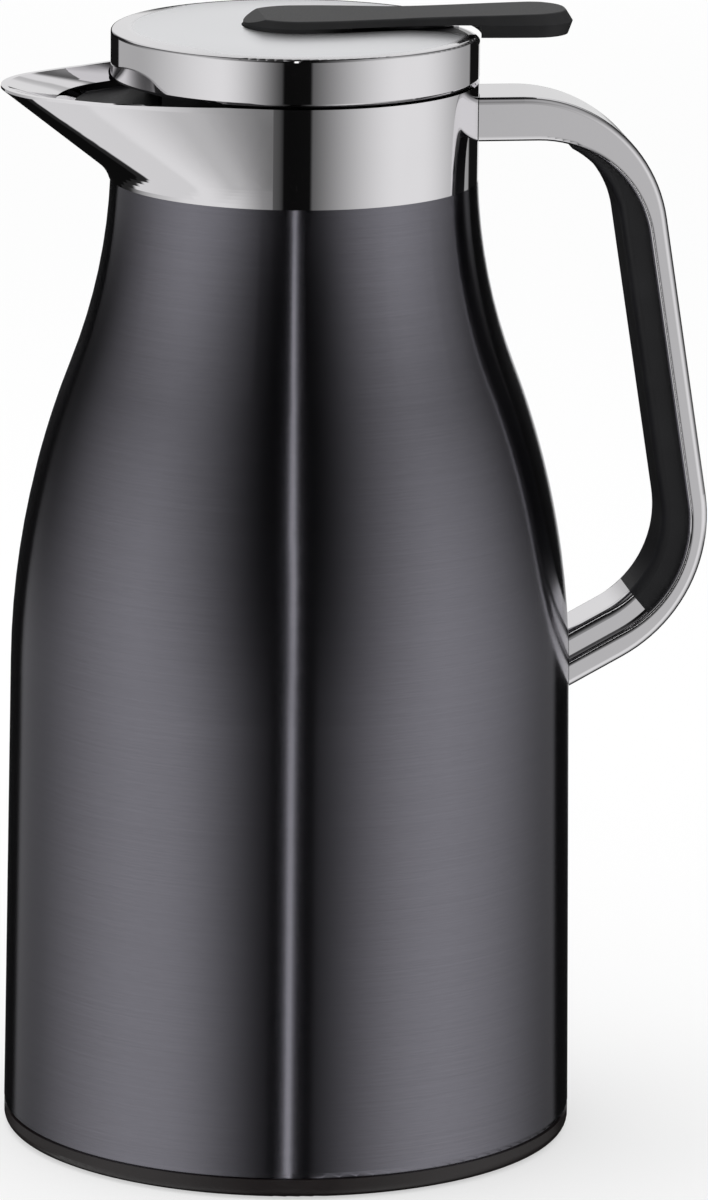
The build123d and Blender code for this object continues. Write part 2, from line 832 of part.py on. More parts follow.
# Handle shell: the plate and the metal end of the rib, shaped to seat on collar and body
with BuildPart() as handle_shell:
    add(band(outer_line, inner_line, outer_bends, inner_bends, handle_width))
    fillet(
        long_edges(handle_shell.edges(), outer_line, outer_bends, handle_width), radius=handle_edge_round
    )
    fillet(
        long_edges(handle_shell.edges(), inner_line, inner_bends, handle_width), radius=handle_inner_round
    )
    add(arm_rib.part)
    add(grip_pocket.part, mode=Mode.SUBTRACT)
    add(body_solid(-handle_seat_gap), mode=Mode.SUBTRACT)
    with BuildSketch(Plane.XY.offset(shoulder_top)):
        Circle(collar_radius + handle_seat_gap)
    extrude(amount=rim_height - shoulder_top, mode=Mode.SUBTRACT)
    add(root_screw_space.part, mode=Mode.SUBTRACT)
    add(bracket_shape(fit_gap), mode=Mode.SUBTRACT)
    with BuildSketch(screw_plane):
        Circle(foot_screw_head + fit_gap)
    extrude(amount=screw_seat, mode=Mode.SUBTRACT)
    with BuildSketch(screw_plane):
        Circle(foot_screw_radius + fit_gap)
    extrude(amount=screw_end + fit_gap, mode=Mode.SUBTRACT)
finish("handle_shell", handle_shell.part)

with BuildPart() as handle_grip:
    add(rib)
    add(grip_space.part, mode=Mode.INTERSECT)
    grip_edges = long_edges(handle_grip.edges(), crown_line, crown_bends, 2 * rib_half_width)
    fillet(grip_edges, radius=rib_edge_round)
finish("handle_grip", handle_grip.part)


def lever_outline(head, neck, tail, tip):
    """Draw the lever as seen from above, from its three half widths and its reach."""
    shoulder = tip - lever_tip_corner
    end = tail - lever_tip_corner
    ThreePointArc((lever_head_x, -head), (lever_head_x - head, 0), (lever_head_x, head))
    for side in (-1, 1):
        Spline(
            (lever_head_x, side * head),
            (lever_neck_x, side * neck),
            (shoulder, side * tail),
            tangents=[(1, 0), (1, 0)],
        )
        RadiusArc((shoulder, side * tail), (tip, side * end), side * lever_tip_corner)
    Line((tip, -end), (tip, end))


def notch_outline():
    """Draw the part of the keyhole that widens to the rim."""
    rim = sqrt(lid_radius**2 - notch_half_width**2)
    beyond = 2 * lid_edge_round + lid_radius - rim
    for side in (-1, 1):
        Spline(
            (notch_start_x, side * notch_start_half),
            (rim, side * notch_half_width),
            tangents=[(1, 0), (1, side)],
        )
        Line((rim, side * notch_half_width), (rim + beyond, side * (notch_half_width + beyond)))
        Line((notch_start_x, 0), (notch_start_x, side * notch_start_half))
    Line((rim + beyond, -notch_half_width - beyond), (rim + beyond, notch_half_width + beyond))


# Lid cover: a bright cap with a keyhole for the lever, open through the rim towards the handle
cover_under = lid_rim_height - lid_top_wall
cover_bore = lid_radius - lid_wall
crown_edge = (lid_radius - lid_edge_round, lid_rim_height)
crown_flat = (lid_flat_radius, lid_rim_height + lid_crown)
with BuildPart() as lid_cover:
    with BuildSketch(Plane.XZ):
        with BuildLine():
            Line((0, crown_flat[1]), crown_flat)
            TangentArc(crown_flat, crown_edge, tangent=(1, 0))
            RadiusArc(crown_edge, (lid_radius, lid_rim_height - lid_edge_round), lid_edge_round)
            Polyline(
                (lid_radius, lid_rim_height - lid_edge_round),
                (lid_radius, lid_bottom + lid_bevel_up),
                (lid_radius - lid_bevel_in, lid_bottom),
                (cover_bore, lid_bottom),
                (cover_bore, cover_under),
                (0, cover_under),
                (0, crown_flat[1]),
            )
        make_face()
    revolve(axis=Axis.Z)
    with BuildSketch(Plane.XY.offset(notch_floor)):
        with BuildLine():
            lever_outline(
                lever_head_radius + lever_clearance,
                lever_neck_half + lever_clearance,
                lever_tail_half + lever_clearance,
                lever_tip_x,
            )
        make_face()
        with BuildLine():
            notch_outline()
        make_face()
    extrude(amount=lever_top - notch_floor, mode=Mode.SUBTRACT)
finish("lid_cover", lid_cover.part)

# Lid core: dark plastic under the cover, with the places for the pin, the spring and the seal
lug_pocket = lug_radius + lug_gap
with BuildPart() as lid_core:
    with BuildSketch(Plane.XY.offset(core_bottom)):
        Circle(cover_bore - cover_gap)
    extrude(amount=notch_floor - core_bottom)
    with BuildSketch(Plane.XY.offset(seal_hub_bottom)):
        Circle(seal_hub_radius)
    extrude(amount=core_bottom - seal_hub_bottom)
    # hollows that save weight, left out under the keyhole
    with BuildSketch(Plane.XY.offset(core_floor_top)):
        Circle(core_pocket_outer)
        Circle(core_boss_radius, mode=Mode.SUBTRACT)
        with Locations((core_pocket_outer / 2, 0)):
            Rectangle(core_pocket_outer, 2 * (notch_half_width + lid_wall), mode=Mode.SUBTRACT)
    extrude(amount=notch_floor - core_floor_top, mode=Mode.SUBTRACT)
    with BuildSketch(Plane.XY.offset(spring_seat_height)):
        Circle(spring_pocket_radius)
    extrude(amount=notch_floor - spring_seat_height, mode=Mode.SUBTRACT)
    with BuildSketch(Plane.XY.offset(pin_height - lug_pocket)):
        with Locations((pin_x, 0)):
            Rectangle(2 * lug_pocket, 2 * (lug_half_width + lug_gap))
    extrude(amount=notch_floor - pin_height + lug_pocket, mode=Mode.SUBTRACT)
    with BuildSketch(Plane.XZ):
        with Locations((pin_x, pin_height)):
            Circle(pin_radius + assembly_fit)
    extrude(amount=core_boss_radius, both=True, mode=Mode.SUBTRACT)
    with BuildSketch(Plane.XY.offset(seal_hub_bottom)):
        Circle(stem_radius + stem_fit)
    extrude(amount=notch_floor - seal_hub_bottom, mode=Mode.SUBTRACT)
    with BuildSketch(Plane.XY.offset(seal_hub_bottom)):
        Circle(stem_seal_radius + assembly_fit)
    extrude(amount=stem_seal_height, mode=Mode.SUBTRACT)
    with BuildSketch(Plane.XY.offset(core_bottom)):
        with PolarLocations(lid_screw_circle, lid_screw_count, start_angle=45):
            Circle(lid_screw_radius + assembly_fit)
    extrude(amount=notch_floor - core_bottom, mode=Mode.SUBTRACT)
finish("lid_core", lid_core.part)

with BuildPart() as stem_seal:
    with BuildSketch(Plane.XY.offset(seal_hub_bottom)):
        Circle(stem_seal_radius)
        Circle(stem_radius + stem_fit, mode=Mode.SUBTRACT)
    extrude(amount=stem_seal_height)
finish("stem_seal", stem_seal.part)

with BuildPart() as lid_screws:
    with BuildSketch(Plane.XY.offset(core_floor_top)):
        with PolarLocations(lid_screw_circle, lid_screw_count, start_angle=45):
            Circle(lid_screw_head)
    extrude(amount=lid_screw_head_height)
    with BuildSketch(Plane.XY.offset(core_floor_top - lid_screw_depth)):
        with PolarLocations(lid_screw_circle, lid_screw_count, start_angle=45):
            Circle(lid_screw_radius)
    extrude(amount=lid_screw_depth)
finish("lid_screws", lid_screws.part)

with BuildPart() as lever_pin:
    with BuildSketch(Plane.XZ):
        with Locations((pin_x, pin_height)):
            Circle(pin_radius)
    extrude(amount=pin_length / 2, both=True)
finish("lever_pin", lever_pin.part)

# Stopper body: a hollow plug with the port below, a spoked guide and the window to the spout
plug_inner = plug_outer - plug_wall
groove_radius = plug_outer - stopper_seal_groove
groove_top = stopper_seal_z + stopper_seal_height
with BuildPart() as stopper_body:
    with BuildSketch(Plane.XZ):
        Polygon(
            (port_radius, plug_bottom),
            (plug_outer - plug_edge, plug_bottom),
            (plug_outer, plug_bottom + plug_edge),
            (plug_outer, stopper_seal_z),
            (groove_radius, stopper_seal_z),
            (groove_radius, groove_top),
            (plug_outer, groove_top),
            (plug_outer, thread_bottom),
            (thread_radius, thread_bottom),
            (thread_radius, core_bottom),
            (plug_inner, core_bottom),
            (plug_inner, plug_bottom + plug_floor),
            (port_radius, plug_bottom + plug_floor),
            align=None,
        )
    revolve(axis=Axis.Z)
    with BuildSketch(Plane.XY.offset(plug_bottom)):
        with PolarLocations((port_radius + hub_radius) / 2, spoke_count):
            Rectangle(port_radius - hub_radius + 2 * plug_floor, spoke_width)
    extrude(amount=plug_floor)
    with BuildSketch(Plane.XY.offset(plug_bottom)):
        Circle(hub_radius)
    extrude(amount=hub_height)
    with BuildSketch(Plane.XY.offset(plug_bottom)):
        Circle(stem_radius + stem_fit)
    extrude(amount=hub_height, mode=Mode.SUBTRACT)
    with BuildSketch(Plane.YZ):
        with Locations((0, (window_bottom + window_top) / 2)):
            Rectangle(2 * window_half_width, window_top - window_bottom)
    extrude(amount=-2 * thread_radius, mode=Mode.SUBTRACT)
    with BuildSketch(Plane.XY.offset(core_floor_top - lid_screw_depth)):
        with PolarLocations(lid_screw_circle, lid_screw_count, start_angle=45):
            Circle(lid_screw_radius + assembly_fit)
    extrude(amount=lid_screw_depth, mode=Mode.SUBTRACT)
finish("stopper_body", stopper_body.part)

with BuildPart() as stopper_gasket:
    with BuildSketch(Plane.XY.offset(stopper_seal_z + assembly_fit)):
        Circle(vessel_neck - neck_seal_gap)
        Circle(groove_radius + assembly_fit, mode=Mode.SUBTRACT)
    extrude(amount=stopper_seal_height - 2 * assembly_fit)
finish("stopper_gasket", stopper_gasket.part)

# Valve: cap, stem, disc, seal and nut move as one and the spring under the cap lifts them
valve_seal_top = plug_bottom - valve_seal_gap
disc_top = valve_seal_top - valve_seal_thickness
disc_bottom = disc_top - disc_thickness
stem_top = cap_top - cap_thickness + cap_bore_depth
with BuildPart() as push_cap:
    with BuildSketch(Plane.XY.offset(cap_top - cap_thickness)):
        Circle(cap_radius)
    extrude(amount=cap_thickness)
    with BuildSketch(Plane.XY.offset(cap_top - cap_thickness)):
        Circle(stem_radius + assembly_fit)
    extrude(amount=cap_bore_depth, mode=Mode.SUBTRACT)
finish("push_cap", push_cap.part)

with BuildPart() as valve_stem:
    with BuildSketch(Plane.XY.offset(valve_seal_top)):
        Circle(stem_radius)
    extrude(amount=stem_top - valve_seal_top)
    with BuildSketch(Plane.XY.offset(disc_bottom - nut_height - stem_end_length)):
        Circle(stem_end_radius)
    extrude(amount=valve_seal_top - disc_bottom + nut_height + stem_end_length)
finish("valve_stem", valve_stem.part)

for name, low, height, radius in (
    ("valve_seal", disc_top, valve_seal_thickness, disc_radius),
    ("valve_disc", disc_bottom, disc_thickness, disc_radius),
    ("valve_nut", disc_bottom - nut_height, nut_height, nut_radius),
):
    with BuildPart() as ring:
        with BuildSketch(Plane.XY.offset(low)):
            if name == "valve_nut":
                RegularPolygon(radius, 6)
            else:
                Circle(radius)
            Circle(stem_end_radius + assembly_fit, mode=Mode.SUBTRACT)
        extrude(amount=height)
    finish(name, ring.part)

# Valve spring: a plain coil between the pocket's floor and the cap
coil_low = spring_seat_height + spring_end_gap + spring_wire / 2
coil_high = cap_top - cap_thickness - spring_end_gap - spring_wire / 2
with BuildPart() as valve_spring:
    with BuildLine():
        coil = Helix(
            pitch=(coil_high - coil_low) / spring_turns,
            height=coil_high - coil_low,
            radius=spring_radius,
            center=(0, 0, coil_low),
        )
    with BuildSketch(Plane(origin=coil @ 0, z_dir=coil % 0)):
        Circle(spring_wire / 2)
    sweep()
finish("valve_spring", valve_spring.part)

# Lever: a black bar with sloping sides, a round head over the valve and a lip over the rim
lever_high = lever_top + lever_tail_rise
with BuildPart() as lever_lip:
    with BuildSketch(Plane.XY.offset(lever_lip_bottom)):
        with BuildLine():
            lever_outline(lever_top_head, lever_top_neck, lever_lip_tail, lever_lip_tip)
        make_face()
    with BuildSketch(Plane.XY.offset(lever_mid_bottom)):
        with BuildLine():
            lever_outline(lever_head_radius, lever_neck_half, lever_tail_half, lever_tip_x)
        make_face()
    loft(ruled=True)
    # its inner face follows the lid's rim, outside it
    with BuildSketch(Plane.XY.offset(lever_lip_bottom)):
        Circle(lid_radius + lever_lip_gap)
    extrude(amount=lever_mid_bottom - lever_lip_bottom, mode=Mode.SUBTRACT)
with BuildPart() as lever:
    with BuildSketch(Plane.XY.offset(lever_mid_bottom)):
        with BuildLine():
            lever_outline(lever_head_radius, lever_neck_half, lever_tail_half, lever_tip_x)
        make_face()
    with BuildSketch(Plane.XY.offset(lever_high)):
        with BuildLine():
            lever_outline(lever_top_head, lever_top_neck, lever_top_tail, lever_top_tip)
        make_face()
    loft(ruled=True)
    # the top is low over the head, slopes down at its end and rises a little towards the tip
    with BuildSketch(Plane.XZ):
        Polygon(
            (lever_slope_start, lever_top - lever_slope_drop),
            (lever_slope_end, lever_top),
            (lever_bend_start, lever_top),
            (lever_bend_end, lever_high),
            (lever_bend_end, lever_high + lever_tip_corner),
            (lever_slope_start, lever_high + lever_tip_corner),
            align=None,
        )
    extrude(amount=2 * lever_head_radius, both=True, mode=Mode.SUBTRACT)
    top_edges = ShapeList(
        edge for edge in lever.edges()
        if edge.bounding_box().min.Z > lever_mid_bottom + lever_edge_round
    )
    cross_edges = top_edges.filter_by(Axis.Y).sort_by(Axis.X)[:-1]
    fillet([edge for edge in top_edges if edge not in cross_edges], radius=lever_edge_round)
    add(lever_lip.part)
    with BuildSketch(Plane.XY.offset(lever_head_bottom)):
        with Locations((lever_head_x, 0)):
            Circle(lever_head_radius)
    extrude(amount=lever_mid_bottom - lever_head_bottom)
    # lug round the pin, and the pusher over the cap
    with BuildSketch(Plane.XZ):
        with Locations((pin_x, pin_height)):
            Circle(lug_radius)
    extrude(amount=lug_half_width, both=True)
    with BuildSketch(Plane.XY.offset(pin_height)):
        with Locations((pin_x, 0)):
            Rectangle(2 * lug_radius, 2 * lug_half_width)
        with Locations((lever_head_x, 0)):
            Circle(lever_head_radius, mode=Mode.INTERSECT)
    extrude(amount=lever_mid_bottom - pin_height)
    with BuildSketch(Plane.XZ):
        with Locations((pin_x, pin_height)):
            Circle(pin_radius + pin_fit)
    extrude(amount=lug_half_width, both=True, mode=Mode.SUBTRACT)
    with BuildSketch(Plane.XY.offset(cap_top + pusher_gap)):
        Circle(pusher_radius)
    extrude(amount=lever_mid_bottom - cap_top - pusher_gap)
finish("lever", lever.part)
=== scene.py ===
"""Finishes and studio for a vacuum-insulated serving jug, as an add-on that runs as a script."""

import math

import bpy
from bpy.props import FloatProperty, FloatVectorProperty, PointerProperty
from mathutils import Matrix, Vector

bl_info = {
    "name": "Thermal jug looks",
    "version": (1, 0, 0),
    "blender": (4, 5, 0),
    "location": "View3D > Sidebar > Jug",
    "description": "Gives the packed jug its brushed, bright and matt finishes and lights it",
    "category": "Object",
}

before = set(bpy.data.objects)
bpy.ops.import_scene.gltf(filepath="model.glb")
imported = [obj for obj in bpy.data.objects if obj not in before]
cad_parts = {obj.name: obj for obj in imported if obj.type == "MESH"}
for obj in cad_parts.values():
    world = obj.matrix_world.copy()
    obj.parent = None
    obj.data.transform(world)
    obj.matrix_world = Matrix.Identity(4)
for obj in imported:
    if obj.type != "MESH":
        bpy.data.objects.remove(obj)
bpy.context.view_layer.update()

IMAGE_HEIGHT = 1200

# Where one finish fades into the next, in metres
FOOT_ROLL_FADE = (0.0059, 0.0063)
LID_SATIN_HEIGHT = (0.25072, 0.25092)
LID_SATIN_RADIUS = (0.0355, 0.0375)
LID_BRIGHT_EDGE = (-0.030, -0.018)
# Where the notch's cut face lies, which gets painted shade: a near black standing in for the shade
# under the lever
NOTCH_CUT_FOOT = (0.24842, 0.24846)
NOTCH_CUT_TOP = (0.24854, 0.24858)
NOTCH_CUT_START = (0.034, 0.036)
NOTCH_CUT_RADIUS = (0.0402, 0.0404)

# Tints that the panel leaves alone
LACQUER_SPREAD = 0.14
PLATE_SHADE = (0.81, 0.80, 0.82)
SATIN_TINT = (0.96, 0.965, 0.985)
# Painted shade: a near black on the notch's cut face, standing in for the shade under the lever
NOTCH_PAINTED_SHADE = (0.03, 0.03, 0.032)

# Edges of what the metal mirrors, in degrees round from the camera, positive to its right
SIDE_CHANGE = (-4, 4)
LEFT_LIGHT_START = (0, 48)
LEFT_LIGHT_END = (46, 118)
RIGHT_LIGHT_START = (-7, 71)
RIGHT_LIGHT_END = (84, 140)
HIGH_LIGHT_START = (10, 69)
LOW_LIGHT_START = (0, 58)
HIGH_AND_LOW_END = (64, 138)
SPOUT_LIGHT = (-130, -60)
CAMERA_FLAG = (-7.2, 10.6)
LEFT_FLAG = (-190, -144.5)
RIGHT_FLAG = (141, 190)
BACK_START = (118, 150)
LOW_BACK_START = (150, 170)
HANDLE_WALL = (166, 176.4)
STRIP = (-0.3, 2.1)

# Edges of what the metal mirrors, in degrees up from level
TABLE_END = (-80, -66)
SPOUT_LIGHT_TOP = (-32, -24)
LEVEL_LIGHT_START = (-19, -13)
HIGH_LIGHT_FOOT = (-9.5, -6.5)
HIGH_LIGHT_DIM = (2, 26)
FLAG_TOP = (8, 24)
LOW_BACK_FOOT = (2, 5)
BACK_FOOT = (20, 30)
FAR_WALL_SEAM = (20, 28)
HANDLE_WALL_HEIGHT = (-13, 8)
LOW_STRIP = (-60, -15.8)
HIGH_STRIP = (-6.0, 58)
CEILING_START = (50, 68)

# The even soft light, which the metal doesn't mirror
SOFT_LEVEL = 0.66
SOFT_FROM_ABOVE = 0.62
LAMP_PLACE = (-0.3, 0.2, 1.6)
LAMP_SIZE = 1.2
LAMP_POWER = 6.0

# The floor as the camera sees it, and as it lights the jug
FLOOR_PALE = (0.97, 0.97, 0.97)
FLOOR_GLOW = 0.55
FLOOR_BOUNCE = (0.25, 0.25, 0.25)


# Shader maths


class Value:
    """A node's output that takes part in Python expressions."""

    def __init__(self, tree, socket):
        self.tree = tree
        self.socket = socket

    def _math(self, operation, *others):
        sockets = dict(enumerate((self, *others)))
        return self.tree.node("ShaderNodeMath", {"operation": operation}, sockets)

    def _swapped(self, operation, other):
        return self.tree.node("ShaderNodeMath", {"operation": operation}, {0: other, 1: self})

    def __add__(self, other):
        return self._math("ADD", other)

    def __radd__(self, other):
        return self._swapped("ADD", other)

    def __sub__(self, other):
        return self._math("SUBTRACT", other)

    def __rsub__(self, other):
        return self._swapped("SUBTRACT", other)

    def __mul__(self, other):
        return self._math("MULTIPLY", other)

    def __rmul__(self, other):
        return self._swapped("MULTIPLY", other)

    def __pow__(self, other):
        return self._math("POWER", other)

    def __abs__(self):
        return self._math("ABSOLUTE")

    def most(self, other):
        return self._math("MAXIMUM", other)

    def least(self, other):
        return self._math("MINIMUM", other)

    def ramp(self, low, high):
        """0 below low, 1 above high and a smooth rise between them."""
        settings = {"interpolation_type": "SMOOTHSTEP"}
        return self.tree.node(
            "ShaderNodeMapRange", settings, {"Value": self, "From Min": low, "From Max": high}
        )

    def parts(self):
        """The three numbers of a vector."""
        return self.tree.node("ShaderNodeSeparateXYZ", None, {0: self}, output=None)


class Tree:
    """A node tree. Its node method adds every node."""

    def __init__(self, tree):
        self.tree = tree
        tree.nodes.clear()

    def node(self, kind, settings=None, sockets=None, output=0):
        """Add a node and return one output, or the list of them where output is None."""
        made = self.tree.nodes.new(kind)
        for name, value in (settings or {}).items():
            setattr(made, name, value)
        for name, value in (sockets or {}).items():
            if isinstance(value, Value):
                self.tree.links.new(value.socket, made.inputs[name])
            else:
                made.inputs[name].default_value = value
        if output is None:
            return [Value(self, socket) for socket in made.outputs]
        return Value(self, made.outputs[output])

    def mix(self, factor, first, second):
        """A colour between two others."""
        return self.node(
            "ShaderNodeMix", {"data_type": "RGBA"}, {0: factor, 6: first, 7: second}, output=2
        )

    def point(self):
        """The place on the piece, in metres."""
        return self.node("ShaderNodeTexCoord", output="Object")

    def noise(self, scale, detail=2.0, rough=0.5):
        """Noise around a half, with its own scale along each axis in waves per metre."""
        stretched = self.node("ShaderNodeMapping", None, {"Vector": self.point(), "Scale": scale})
        return self.node(
            "ShaderNodeTexNoise",
            None,
            {"Vector": stretched, "Scale": 1.0, "Detail": detail, "Roughness": rough},
        )


# Materials


def colour(rgb):
    """A colour as a socket takes it, with its fourth number."""
    return (*rgb, 1.0)


def material(name, principled, fill):
    """A material whose constants sit on the shader, and whose varying inputs fill() links."""
    made = bpy.data.materials.new(name)
    made.use_nodes = True
    tree = Tree(made.node_tree)
    sockets = dict(principled)
    sockets.update(fill(tree))
    shader = tree.node("ShaderNodeBsdfPrincipled", None, sockets)
    tree.node("ShaderNodeOutputMaterial", None, {"Surface": shader}, output=None)
    return made


def bump(tree, height, strength, distance, normal=None):
    """A normal tilted by the slope of a height, from the piece's own normal or another."""
    sockets = {"Height": height, "Strength": strength, "Distance": distance}
    if normal is not None:
        sockets["Normal"] = normal
    return tree.node("ShaderNodeBump", None, sockets)


def brushed_lacquer(looks):
    """Dark clear lacquer over steel that is brushed round, with its rolled foot shaded upright."""

    def fill(tree):
        lines = tree.noise((12, 12, 3400), 3.0, 0.6)
        grain = tree.noise((260, 260, 6400), 2.0, 0.7)
        cloud = tree.noise((14, 14, 9), 2.0)
        streak = (lines - 0.5) * 0.5 + (grain - 0.5) * 0.5
        z = tree.point().parts()[2]
        above_roll = z.ramp(*FOOT_ROLL_FADE)
        across, along, up = tree.node("ShaderNodeNewGeometry", output="Normal").parts()
        level = tree.node("ShaderNodeCombineXYZ", None, {0: across, 1: along, 2: up * above_roll})
        upright = tree.node("ShaderNodeVectorMath", {"operation": "NORMALIZE"}, {0: level})
        shade = (0.5 + streak * looks.brushing).ramp(0.0, 1.0)
        dark = [part * (1 - LACQUER_SPREAD) for part in looks.body_colour]
        light = [part * (1 + LACQUER_SPREAD) for part in looks.body_colour]
        return {
            "Base Color": tree.mix(shade, colour(dark), colour(light)),
            "Roughness": looks.body_roughness + streak * 0.03 + (cloud - 0.5) * 0.02,
            "Normal": bump(tree, streak, 0.02, 0.0001, upright),
        }

    constants = {"Metallic": 1.0, "Anisotropic": 1.0, "Anisotropic Rotation": 0.25}
    return material("brushed_lacquer", constants, fill)


def bright_plate(name, looks, lean=0.0, satin_top=False):
    """Mirror plating with the faint haze and hairlines of use; on the lid also a satin top, and
    painted shade in the notch.
    """

    def fill(tree):
        haze = tree.noise((30, 30, 30), 3.0, 0.6)
        hair = tree.noise((900, 60, 700), 2.0, 0.6)
        tint = tree.mix(haze, colour(PLATE_SHADE), colour(looks.plate_colour))
        shine = looks.plate_roughness + hair.ramp(0.62, 0.8) * 0.05 + (haze - 0.5) * 0.02
        if satin_top:
            satin, notch_shade = lid_areas(tree)
            tint = tree.mix(satin, tint, colour(SATIN_TINT))
            # Painted shade: the notch's cut face is tinted near black for the shade under the
            # lever
            tint = tree.mix(notch_shade, tint, colour(NOTCH_PAINTED_SHADE))
            shine = shine + satin * looks.top_roughness
        sockets = {"Base Color": tint, "Roughness": shine}
        if lean:
            x = tree.point().parts()[0]
            sockets["Normal"] = bump(tree, x * lean, 1.0, 1.0)
        return sockets

    return material(name, {"Metallic": 1.0}, fill)


def lid_areas(tree):
    """Two masks: the lid's satin top less a bright edge by the spout, and the upward face of the
    lid wall at the notch's floor, which gets painted shade for the shade under the lever.
    """
    x, y, z = tree.point().parts()
    radius = (x * x + y * y) ** 0.5
    edge = radius.ramp(*LID_SATIN_RADIUS) * (1 - x.ramp(*LID_BRIGHT_EDGE))
    satin = z.ramp(*LID_SATIN_HEIGHT) * (1 - edge)
    # The notch's cut face, where the painted shade goes
    notch_shade = z.ramp(*NOTCH_CUT_FOOT) * (1 - z.ramp(*NOTCH_CUT_TOP)) * x.ramp(*NOTCH_CUT_START)
    notch_shade = notch_shade * (1 - radius.ramp(*NOTCH_CUT_RADIUS))
    return satin, notch_shade


def moulded_plastic(name, rgb, roughness, grain, specular=0.5):
    """Plastic with the fine spark-eroded grain of its mould."""

    def fill(tree):
        fine = tree.noise((grain, grain, grain), 2.0, 0.6)
        wear = tree.noise((55, 55, 55), 3.0, 0.6)
        lighter = [min(part * 1.35 + 0.004, 1.0) for part in rgb]
        return {
            "Base Color": tree.mix(wear.ramp(0.3, 0.8), colour(rgb), colour(lighter)),
            "Roughness": roughness + (fine - 0.5) * 0.16 + (wear - 0.5) * 0.08,
            "Normal": bump(tree, fine, 0.18, 0.00015),
        }

    return material(name, {"Specular IOR Level": specular}, fill)


def plain_steel(name, rgb, roughness, lines):
    """Bare metal with turning or drawing marks along one axis."""

    def fill(tree):
        marks = tree.noise(lines, 3.0, 0.65)
        dull = tree.noise((40, 40, 40), 2.0)
        darker = [part * 0.7 for part in rgb]
        return {
            "Base Color": tree.mix(marks * 0.6 + dull * 0.4, colour(darker), colour(rgb)),
            "Roughness": roughness + (marks - 0.5) * 0.2 + (dull - 0.5) * 0.1,
            "Normal": bump(tree, marks, 0.1, 0.0001),
        }

    return material(name, {"Metallic": 1.0}, fill)


def soft_rubber(name, rgb, roughness):
    """Seal rubber with a dusty bloom."""

    def fill(tree):
        bloom = tree.noise((70, 70, 70), 4.0, 0.65)
        fine = tree.noise((1800, 1800, 1800), 1.0)
        pale = [min(part * 1.25 + 0.01, 1.0) for part in rgb]
        return {
            "Base Color": tree.mix(bloom.ramp(0.35, 0.75), colour(rgb), colour(pale)),
            "Roughness": roughness + (bloom - 0.5) * 0.12,
            "Normal": bump(tree, fine, 0.1, 0.0001),
        }

    return material(name, {"Sheen Weight": 0.1}, fill)


def dress(surface, *names):
    """Give CAD nodes a material."""
    for name in names:
        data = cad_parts[name].data
        data.materials.clear()
        data.materials.append(surface)


# Sizes and colours


class JugLooks(bpy.types.PropertyGroup):
    """Colours and finishes of the jug."""

    body_colour: FloatVectorProperty(
        name="Body colour", description="Tint of the lacquer over the brushed steel",
        subtype="COLOR", size=3, default=(0.215, 0.21, 0.24), min=0, max=1,
    )
    body_roughness: FloatProperty(
        name="Body roughness", description="How far the brushing spreads a reflection",
        default=0.21, min=0, max=1,
    )
    brushing: FloatProperty(
        name="Brushing", description="How plainly the brush lines show", default=1.0, min=0, max=3,
    )
    plate_colour: FloatVectorProperty(
        name="Bright plating", description="Tint of collar, lid and handle",
        subtype="COLOR", size=3, default=(0.87, 0.855, 0.875), min=0, max=1,
    )
    plate_roughness: FloatProperty(
        name="Plating roughness", description="Haze of the bright plating",
        default=0.035, min=0, max=1,
    )
    top_roughness: FloatProperty(
        name="Lid top roughness", description="Satin of the lid's top, over the plating's own",
        default=0.27, min=0, max=1,
    )
    handle_lean: FloatProperty(
        name="Handle lean",
        description="How far the shading leans the handle's faces away from the jug, as a slope",
        default=-0.19, min=-1, max=1,
    )
    lever_colour: FloatVectorProperty(
        name="Lever colour", description="Charcoal of the lever",
        subtype="COLOR", size=3, default=(0.02, 0.02, 0.021), min=0, max=1,
    )
    grip_colour: FloatVectorProperty(
        name="Grip colour", description="Black of the grip",
        subtype="COLOR", size=3, default=(0.018, 0.018, 0.02), min=0, max=1,
    )
    base_colour: FloatVectorProperty(
        name="Base colour", description="Brown black of the foot ring",
        subtype="COLOR", size=3, default=(0.012, 0.008, 0.008), min=0, max=1,
    )


class JugStudio(bpy.types.PropertyGroup):
    """Camera, floor and light."""

    distance: FloatProperty(
        name="Camera distance", description="From the camera to the jug's axis, level",
        unit="LENGTH", subtype="DISTANCE", default=1.905, min=0.5, max=5,
    )
    height: FloatProperty(
        name="Camera height", description="Of the camera over the floor",
        unit="LENGTH", subtype="DISTANCE", default=0.57, min=0, max=3,
    )
    turn: FloatProperty(
        name="Camera turn", description="How far the camera stands round towards the spout",
        unit="ROTATION", subtype="ANGLE", default=math.radians(7.5),
    )
    pitch: FloatProperty(
        name="Camera pitch", description="How far the camera looks down",
        unit="ROTATION", subtype="ANGLE", default=math.radians(13.26),
    )
    yaw: FloatProperty(
        name="Camera yaw", description="How far the camera looks to the right of the axis",
        unit="ROTATION", subtype="ANGLE", default=math.radians(0.43),
    )
    roll: FloatProperty(
        name="Camera roll", description="How far the picture leans to the right",
        unit="ROTATION", subtype="ANGLE", default=math.radians(0.62),
    )
    focal: FloatProperty(
        name="Focal length", description="In pixels of a picture 1200 high",
        default=8719.0, min=100,
    )
    strip_strength: FloatProperty(
        name="Strip light", description="Strength of the thin upright light at the camera",
        default=3.4, min=0,
    )
    floor_radius: FloatProperty(
        name="Floor radius", description="Half the floor's width",
        unit="LENGTH", subtype="DISTANCE", default=2.6, min=0.5, max=10,
    )


# Operators


class JUG_OT_body(bpy.types.Operator):
    """Finish the body shell in dark brushed lacquer"""

    bl_idname = "jug.body"
    bl_label = "Body"

    def execute(self, context):
        dress(brushed_lacquer(context.scene.jug_looks), "outer_shell")
        return {"FINISHED"}


